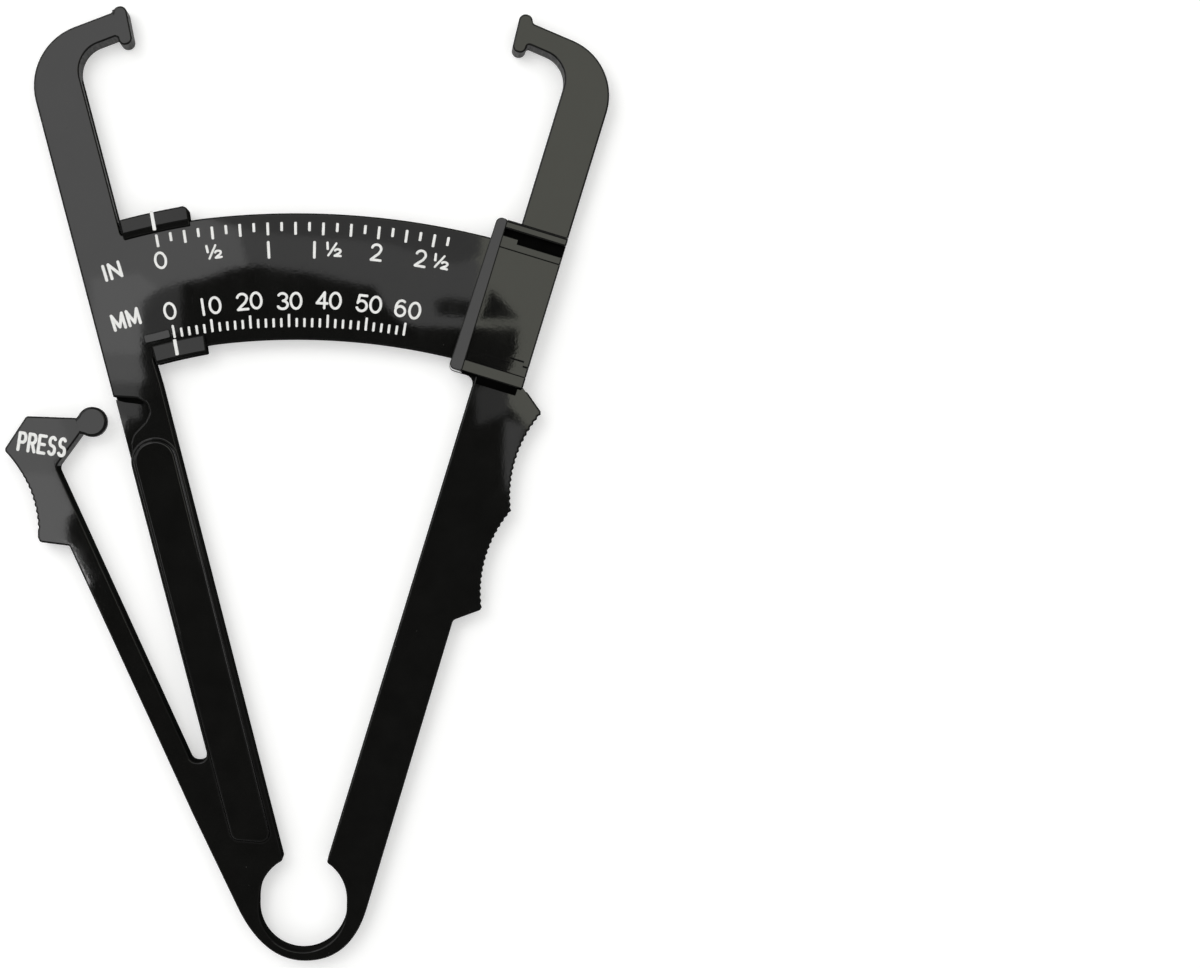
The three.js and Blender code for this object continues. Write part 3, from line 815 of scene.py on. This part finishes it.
lever_shell = slab(on_lever(tab_corners), 0, ARM_TOP, EDGE, EDGE)
lever_shell.add(on_lever(ball_corners), rows_of(SOCKET_FLOOR + 0.4, ARM_TOP, 0.4, 0.5))
lever_piece = lever_shell.made("press_lever_moulding", moulding, *LEVER_WALL_SHADES)
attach(lever_piece, "lever")
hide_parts("press_lever", "press_tab", "click_ball")


# Memory slider: its ends run along the left arm and along the closed housing
def slider_start(radius):
    """The angle where the slider begins, beside the left arm."""
    return -LEAN - math.asin((LEFT_INNER - 0.3) / radius)


def slider_end(radius):
    """The angle where the slider ends, beside the housing of the closed caliper."""
    return LEAN - CLOSING + math.asin((HOUSING_INNER - 0.3) / radius)


def sector(inner, outer, corner=0.0, far_corner=0.0, count=16):
    """A part of a ring between the slider's ends."""
    def edge(radius):
        start, end = slider_start(radius), slider_end(radius)
        return [clock(radius, start + (end - start) * i / count) for i in range(count + 1)]

    low, high = edge(inner), edge(outer)[::-1]
    corners = [(*low[0], corner), *low[1:-1], (*low[-1], corner), (*high[0], far_corner), *high[1:-1],
               (*high[-1], corner)]
    return rounded(corners)


# The web behind the scale, a wall past each edge of the scale, and the lips over it
CLIP_LOW, CLIP_TOP = 97.3, 122.9
clips = slab(sector(CLIP_LOW, CLIP_TOP, 0.3, 0.8), 1.5, BEHIND_SCALE, 0.2, 0)
clips.add(sector(TOP_WALL, CLIP_TOP, 0, 0.8), rows_of(BEHIND_SCALE, OVER_SCALE))
clips.add(sector(CLIP_LOW, 98.1), rows_of(BEHIND_SCALE, OVER_SCALE))
clips.add(sector(120.3, CLIP_TOP, 0.15, 0.9), rows_of(OVER_SCALE, LIP_HEIGHT, 0, 0.3))
clips.add(sector(119.5, 120.5, 0.15, 0.15), rows_of(OVER_SCALE, 7.05, 0, 0.15), crown=(0.05, -0.25))
clips.add(sector(97.5, 100.5, 0.3, 0.3), rows_of(OVER_SCALE, LIP_HEIGHT, 0, 0.3), crown=(0.0, 0.08))
slider_piece = clips.made("memory_slider", clip_plastic, PLAIN_WALL_SHADE)
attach(slider_piece, "slider")
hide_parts("slider_web", "slider_top_clip", "slider_low_clip")


# White marks, printed a little proud of the plastic
def paint_rows(height):
    """Rows of a mark on a surface at this height."""
    return rows_of(height - 0.05, height + 0.1, 0, 0.05, 2)


def clock_place(radius, angle):
    """Where something stands on the scale, upright along the radius."""
    return Matrix.Translation((*clock(radius, angle), 0)) @ Matrix.Rotation(-angle, 4, "Z")


def line_mark(shell, place, low, high, width, height=ARM_TOP):
    """A straight mark along the place's y, from low to high."""
    half = width / 2
    outline = rounded([(-half, low, 0.16), (half, low, 0.16), (half, high, 0.16), (-half, high, 0.16)], 30)
    shell.add(outline, paint_rows(height), place)


def fan_line(turn):
    """A place at the printed scale's own centre, its local y along one of its lines."""
    return Matrix.Translation((*FAN, 0)) @ Matrix.Rotation(-turn, 4, "Z")


inch_marks = Shell()
for i in range(22):
    long = 2.25 if i % 2 == 0 else 1.6
    line_mark(inch_marks, fan_line(FAN_ZERO + INCH_STEP * i), INCH_LINES_TOP - long, INCH_LINES_TOP, 0.49)
metric_marks = Shell()
for i in range(31):
    long = 2.3 if i % 5 == 0 else 1.6
    place = fan_line(FAN_ZERO + METRIC_STEP * i)
    line_mark(metric_marks, place, METRIC_LINES_FOOT, METRIC_LINES_FOOT + long, 0.44)
index_marks = Shell()
line_mark(index_marks, fan_line(FAN_ZERO), 135.55, 139.0, 0.62, LIP_HEIGHT)
line_mark(index_marks, fan_line(FAN_ZERO), 113.7, 116.5, 0.6, LIP_HEIGHT)


# Numerals and letters: smooth strokes with round ends, in a box one wide and one high
def bend(x, y, wide, high, start, end, step=12.0):
    """Points along an ellipse's arc about x, y."""
    return [(x + wide * px, y + high * py) for px, py in arc((0, 0), 1, start, end, step)]


GLYPHS = {
    "0": [bend(0.5, 0.5, 0.5, 0.5, 0, 360)],
    "1": [[(0.5, 0), (0.5, 1)]],
    "2": [bend(0.5, 0.72, 0.46, 0.28, 165, -20) + [(0.75, 0.42), (0.35, 0.2), (0.04, 0.0)],
          [(0.04, 0), (1, 0)]],
    "3": [bend(0.46, 0.76, 0.42, 0.24, 150, -80), bend(0.46, 0.26, 0.48, 0.26, 85, -155)],
    "4": [[(0.72, 0), (0.72, 1)], [(0.72, 1), (0, 0.3)], [(0, 0.3), (1, 0.3)]],
    "5": [[(0.9, 1), (0.2, 1)], [(0.2, 1), (0.08, 0.5)], bend(0.47, 0.33, 0.48, 0.33, 145, -155)],
    "6": [bend(0.5, 0.31, 0.46, 0.31, 60, 250), bend(0.5, 0.31, 0.46, 0.31, -130, 90),
          bend(0.56, 0.5, 0.52, 0.5, 62, 180)],
    "I": [[(0.5, 0), (0.5, 1)]],
    "N": [[(0, 0), (0, 1)], [(0, 1), (1, 0)], [(1, 0), (1, 1)]],
    "M": [[(0, 0), (0, 1)], [(0, 1), (0.5, 0.12)], [(0.5, 0.12), (1, 1)], [(1, 1), (1, 0)]],
    "P": [[(0, 0), (0, 1)], [(0, 1)] + bend(0.55, 0.73, 0.42, 0.27, 90, -90) + [(0, 0.46)]],
    "R": [[(0, 0), (0, 1)], [(0, 1)] + bend(0.55, 0.74, 0.42, 0.26, 90, -90) + [(0, 0.48)],
          [(0.5, 0.48), (0.95, 0)]],
    "E": [[(0, 0), (0, 1)], [(0, 1), (0.95, 1)], [(0, 0.5), (0.85, 0.5)], [(0, 0), (0.95, 0)]],
    "S": [bend(0.5, 0.75, 0.42, 0.25, 35, 240) + bend(0.5, 0.25, 0.45, 0.25, 60, -150)],
}


def stroke(shell, points, width, place, height=ARM_TOP):
    """One line of paint, with round ends unless it closes on itself."""
    path = [Vector(point) for point in points]
    closed = (path[0] - path[-1]).length < 0.01
    if closed:
        path = path[:-1]
    normals = []
    for i in range(len(path)):
        after = path[(i + 1) % len(path)] if closed or i + 1 < len(path) else path[i]
        before = path[i - 1] if closed or i else path[i]
        along = (after - before).normalized()
        normals.append(Vector((-along.y, along.x)))
    half = width / 2
    right = [p - n * half for p, n in zip(path, normals)]
    left = [p + n * half for p, n in zip(path, normals)]
    if closed:
        for i in range(len(path)):
            j = (i + 1) % len(path)
            quad = [(*right[i], "tb"), (*right[j], ""), (*left[j], "tb"), (*left[i], "")]
            shell.add(quad, paint_rows(height), place)
        return
    last = math.degrees(math.atan2(-normals[-1].y, -normals[-1].x))
    first = math.degrees(math.atan2(normals[0].y, normals[0].x))
    outline = right + [Vector(p) for p in arc(path[-1], half, last, last + 180, 20)[1:-1]]
    outline += left[::-1] + [Vector(p) for p in arc(path[0], half, first, first + 180, 20)[1:-1]]
    shell.add([(*p, "t") for p in outline], paint_rows(height), place)


LAYER = 0.006


def write(shell, word, place, width, high, gap, line):
    """A word about the middle of its place. width and high are between the strokes' middles.

    Crossing strokes stand a layer above each other.
    """
    widths = [0.0 if letter in "1I" else width for letter in word]
    x = -(sum(widths) + gap * (len(word) - 1)) / 2
    for letter, wide in zip(word, widths):
        for k, points in enumerate(GLYPHS[letter]):
            spots = [((x + wide * px) if wide else x, high * (py - 0.5)) for px, py in points]
            stroke(shell, spots, line, place, ARM_TOP + LAYER * k)
        x += wide + gap


def half_mark(shell, place):
    """A one-half fraction."""
    stroke(shell, [(-1.2, 1.1), (-1.1, 0.05)], 0.44, place)
    stroke(shell, [(0.35, 1.05), (-0.95, -1.1)], 0.38, place, ARM_TOP + LAYER)
    for k, points in enumerate(GLYPHS["2"]):
        spots = [(0.1 + 1.08 * x, -1.1 + 1.15 * y) for x, y in points]
        stroke(shell, spots, 0.4, place, ARM_TOP + 2 * LAYER + LAYER * k)


def standing(x, y, turn):
    """A place at x, y, turned counterclockwise."""
    return Matrix.Translation((x, y, 0)) @ Matrix.Rotation(turn, 4, "Z")


def place_number(shell, word, radius, degrees, width, high, gap=0.0, line=0.46):
    write(shell, word, clock_place(radius, math.radians(degrees)), width, high, gap, line)


inch_numbers = Shell()
place_number(inch_numbers, "0", 114.6, -13.72, 1.8, 2.65)
half_mark(inch_numbers, clock_place(114.45, math.radians(-9.03)))
place_number(inch_numbers, "1", 113.83, -4.31, 0, 2.6, 0, 0.5)
write(inch_numbers, "1", standing(-0.64, 113.68, 0.0), 0, 2.6, 0, 0.5)
half_mark(inch_numbers, standing(2.76, 113.82, -0.03))
write(inch_numbers, "2", standing(10.05, 113.45, -0.09), 1.72, 2.68, 0, 0.46)
write(inch_numbers, "2", standing(17.73, 112.55, -0.155), 1.72, 2.68, 0, 0.46)
half_mark(inch_numbers, standing(21.33, 112.05, -0.185))
write(inch_numbers, "IN", clock_place(114.92, math.radians(-17.98)), 1.78, 2.5, 0.95, 0.54)

metric_numbers = Shell()
place_number(metric_numbers, "0", 105.72, -13.9, 1.82, 2.68)
for word, radius, degrees, gap in (
        ("10", 105.25, -9.97, 1.22), ("20", 105.25, -6.4, 0.6), ("30", 104.87, -2.61, 0.45),
        ("40", 105.0, 1.1, 0.48), ("50", 104.9, 4.9, 0.55), ("60", 104.88, 8.59, 0.68)):
    place_number(metric_numbers, word, radius, degrees, 1.8, 2.68, gap)
write(metric_numbers, "MM", clock_place(106.25, math.radians(-18.08)), 1.85, 2.55, 0.83, 0.54)

press_word = Shell()
write(press_word, "PRESS", standing(-46.98, 79.13, math.radians(-7.2)), 1.12, 2.95, 0.62, 0.56)

for shell, name, body in (
        (inch_marks, "inch_scale_marks", "left_arm"), (metric_marks, "metric_scale_marks", "left_arm"),
        (index_marks, "slider_index_marks", "slider"), (inch_numbers, "inch_numbers", "left_arm"),
        (metric_numbers, "metric_numbers", "left_arm"), (press_word, "press_word", "lever")):
    marks = shell.made(name, paint)
    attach(marks, body)


# Studio: pale floor, soft key light from the upper left, a softbox over the jaws
def emitter(name, corners, colour, strength):
    """A glowing sheet that shows in the gloss only."""
    mesh = bpy.data.meshes.new(name)
    mesh.from_pydata([RING + Vector(corner) * MM for corner in corners], [], [tuple(range(len(corners)))])
    material = bpy.data.materials.new(name)
    material.use_nodes = True
    tree = material.node_tree
    tree.nodes.clear()
    light = tree.nodes.new("ShaderNodeEmission")
    light.inputs["Color"].default_value = (*colour, 1)
    light.inputs["Strength"].default_value = strength
    output = tree.nodes.new("ShaderNodeOutputMaterial")
    tree.links.new(light.outputs[0], output.inputs[0])
    mesh.materials.append(material)
    obj = bpy.data.objects.new(name, mesh)
    bpy.context.scene.collection.objects.link(obj)
    obj.visible_camera = False
    obj.visible_shadow = False


ROLL = math.radians(1.15)
SHIFT = 0.15
FRAME_WIDTH = 207.3
SOFTBOX_HEIGHT = 620


def mirrored_up(x, y):
    """The place at the softbox's height that a level face at x, y shows the camera."""
    share = (SOFTBOX_HEIGHT - ARM_TOP) / (CAMERA_HEIGHT - ARM_TOP)
    return (x + (x - CAMERA.x) * share, y + (y - CAMERA.y) * share, SOFTBOX_HEIGHT)


# Outlines of lights are written where level faces of the caliper show them
TAB_EDGE = ((-80, 30), (-52, 38), (-46, 50), (-42.5, 60), (-42.3, 66), (-41, 68), (-42.8, 72))
SCALE_EDGE = ((-10.2, 110.8), (-0.8, 109.5), (5.5, 108.2), (9.65, 107.6), (12, 104))
emitter("softbox", [mirrored_up(x, y) for x, y in (
    *TAB_EDGE, (-44.6, 75.8), (-43, 78), (-34, 80), (-31, 88.7), (-29.4, 91), (-30.4, 94.7), (-30.4, 104.4),
    (-26.2, 106.6), (-18.5, 108.8), (-14.9, 110), *SCALE_EDGE, (12, 200), (-80, 200))], (1.0, 1.0, 1.0), 1.75)
emitter("window", [mirrored_up(x, y) for x, y in (
    (12, 104), (15, 101.3), (18, 100.7), (34.7, 100.8), (34.7, 96.75), (33.6, 95), (33, 88), (40, 80),
    (60, 80), (90, 95), (90, 200), (12, 200))], (1.0, 1.01, 0.88), 1.7)
# Smaller patches of light and shade: name, strength, how far below the softbox, outline
for name, strength, drop, corners in (
        ("arc_flag", 0.1, 2, ((20.8, 102.9), (26.4, 102.5), (26.6, 105.4), (22.5, 105.9), (20.3, 105.1))),
        ("plate_flag", 0.05, 2, ((28.2, 102.2), (34.9, 102.4), (29.9, 107.4))),
        ("tab_glow", 2.05, 2, (*TAB_EDGE, (-44.6, 75.8), (-43, 78), (-42, 79), (-45, 86), (-80, 86))),
        ("tab_low_glow", 2.4, 4, (*TAB_EDGE, (-44.6, 74), (-80, 74))),
        ("lever_streak", 9.0, 6, ((-43.1, 61.6), (-41.6, 62.0), (-38.0, 55.2), (-38.8, 54.7))),
        ("scale_half", 0.6, 1.5, ((-30.4, 103.4), (-29.6, 104.8), (-26.2, 106.6), (-23.6, 107.3),
                                  (-23.3, 99), (-29.6, 97), (-30.4, 99))),
        ("socket_shade", 1.0, 3, ((-36, 84), (-30.4, 84), (-30.2, 90), (-36, 90))),
        ("grip_glow", 0.9, 3.5, ((32.8, 85), (36.4, 84), (35.2, 79), (34.4, 73.5), (33.2, 72.5), (32.8, 78))),
        ("handle_glow", 0.5, 3, ((27.5, 90), (33.2, 93), (33.4, 86), (28, 84))),
        ("scale_middle", 1.05, 1, ((-12, 110.5), *SCALE_EDGE, (15, 101.3), (18, 100.7), (27.5, 100.8),
                                   (28, 112), (12, 117), (2, 118), (-8, 119), (-14, 119))),
        ("scale_shade", 0.7, 3, ((-23, 120.5), (-16, 117.6), (-8, 116.3), (2, 115.6), (12, 115), (24, 111.5),
                                 (28, 113), (28, 122), (0, 124), (-23, 122.5))),
        ("scale_glow", 2.2, 2, ((-38, 95), (-30, 95), (-30, 104), (-27.4, 106.4), (-31, 109), (-39, 108)))):
    places = [Vector(mirrored_up(x, y)) - Vector((0, 0, drop)) for x, y in corners]
    emitter(name, places, (1, 1, 1), strength)
emitter("left_panel", ((-900, 100, 380), (-300, 900, 380), (-260, 800, 700), (-800, 80, 700)), (1, 1, 1), 1.4)

FLOOR_HALF = 4
FLOOR_DEPTH = -0.0003
floor_mesh = bpy.data.meshes.new("floor")
floor_mesh.from_pydata([(x * FLOOR_HALF, y * FLOOR_HALF, FLOOR_DEPTH)
                        for x, y in ((-1, -1), (1, -1), (1, 1), (-1, 1))], [], [(0, 1, 2, 3)])
n = Nodes("pale_floor")
n.shader.inputs["Base Color"].default_value = (0.75, 0.75, 0.745, 1)
n.shader.inputs["Roughness"].default_value = 0.8
seen = n.make("LightPath")
glow = n.sum(n.sum(seen.outputs["Is Camera Ray"], seen.outputs["Is Glossy Ray"]),
             seen.outputs["Is Transmission Ray"])
n.shader.inputs["Emission Color"].default_value = (1, 1, 1, 1)
n.link(n.sum(glow, 0.37, "MULTIPLY"), "Emission Strength")
floor_mesh.materials.append(n.material)
floor = bpy.data.objects.new("floor", floor_mesh)
bpy.context.scene.collection.objects.link(floor)

# The world is dim and darkest overhead, where the black faces mirror it
world = bpy.data.worlds.new("studio")
world.use_nodes = True
tree = world.node_tree
background = tree.nodes["Background"]
direction = tree.nodes.new("ShaderNodeTexCoord")
parts = tree.nodes.new("ShaderNodeSeparateXYZ")
shade = tree.nodes.new("ShaderNodeValToRGB")
tree.links.new(direction.outputs["Generated"], parts.inputs[0])
tree.links.new(parts.outputs["Z"], shade.inputs[0])
LEVELS = ((0.0, 0.16), (0.35, 0.16), (0.6, 0.14), (0.87, 0.08), (0.94, 0.03))
while len(shade.color_ramp.elements) < len(LEVELS):
    shade.color_ramp.elements.new(0.5)
for element, (at, level) in zip(shade.color_ramp.elements, LEVELS):
    element.position = at
    element.color = (level, level, level, 1)
tree.links.new(shade.outputs[0], background.inputs["Color"])
bpy.context.scene.world = world


def lamp(name, place, size, energy):
    """A soft lamp that lights the floor and the marks but doesn't show in the gloss."""
    data = bpy.data.lights.new(name, "AREA")
    data.shape = "SQUARE"
    data.size = size
    data.energy = energy
    obj = bpy.data.objects.new(name, data)
    obj.location = RING + Vector(place) * MM
    aim = RING + Vector((0, 75, 0)) * MM
    obj.rotation_euler = (aim - obj.location).to_track_quat("-Z", "Y").to_euler()
    obj.visible_glossy = False
    bpy.context.scene.collection.objects.link(obj)


lamp("key", (-230, 300, 900), 0.32, 1.9)
lamp("fill", (0, 100, 1100), 1.8, 12.5)

camera_data = bpy.data.cameras.new("camera")
camera_data.sensor_width = 36
camera_data.lens = 36 * (CAMERA_HEIGHT - ARM_TOP) / FRAME_WIDTH
camera_data.shift_x = SHIFT
camera_data.clip_start, camera_data.clip_end = 0.01, 10
camera = bpy.data.objects.new("camera", camera_data)
camera.location = RING + CAMERA * MM
camera.rotation_euler = (0, 0, ROLL)
bpy.context.scene.collection.objects.link(camera)
bpy.context.scene.camera = camera
bpy.context.scene.view_settings.view_transform = "Standard"
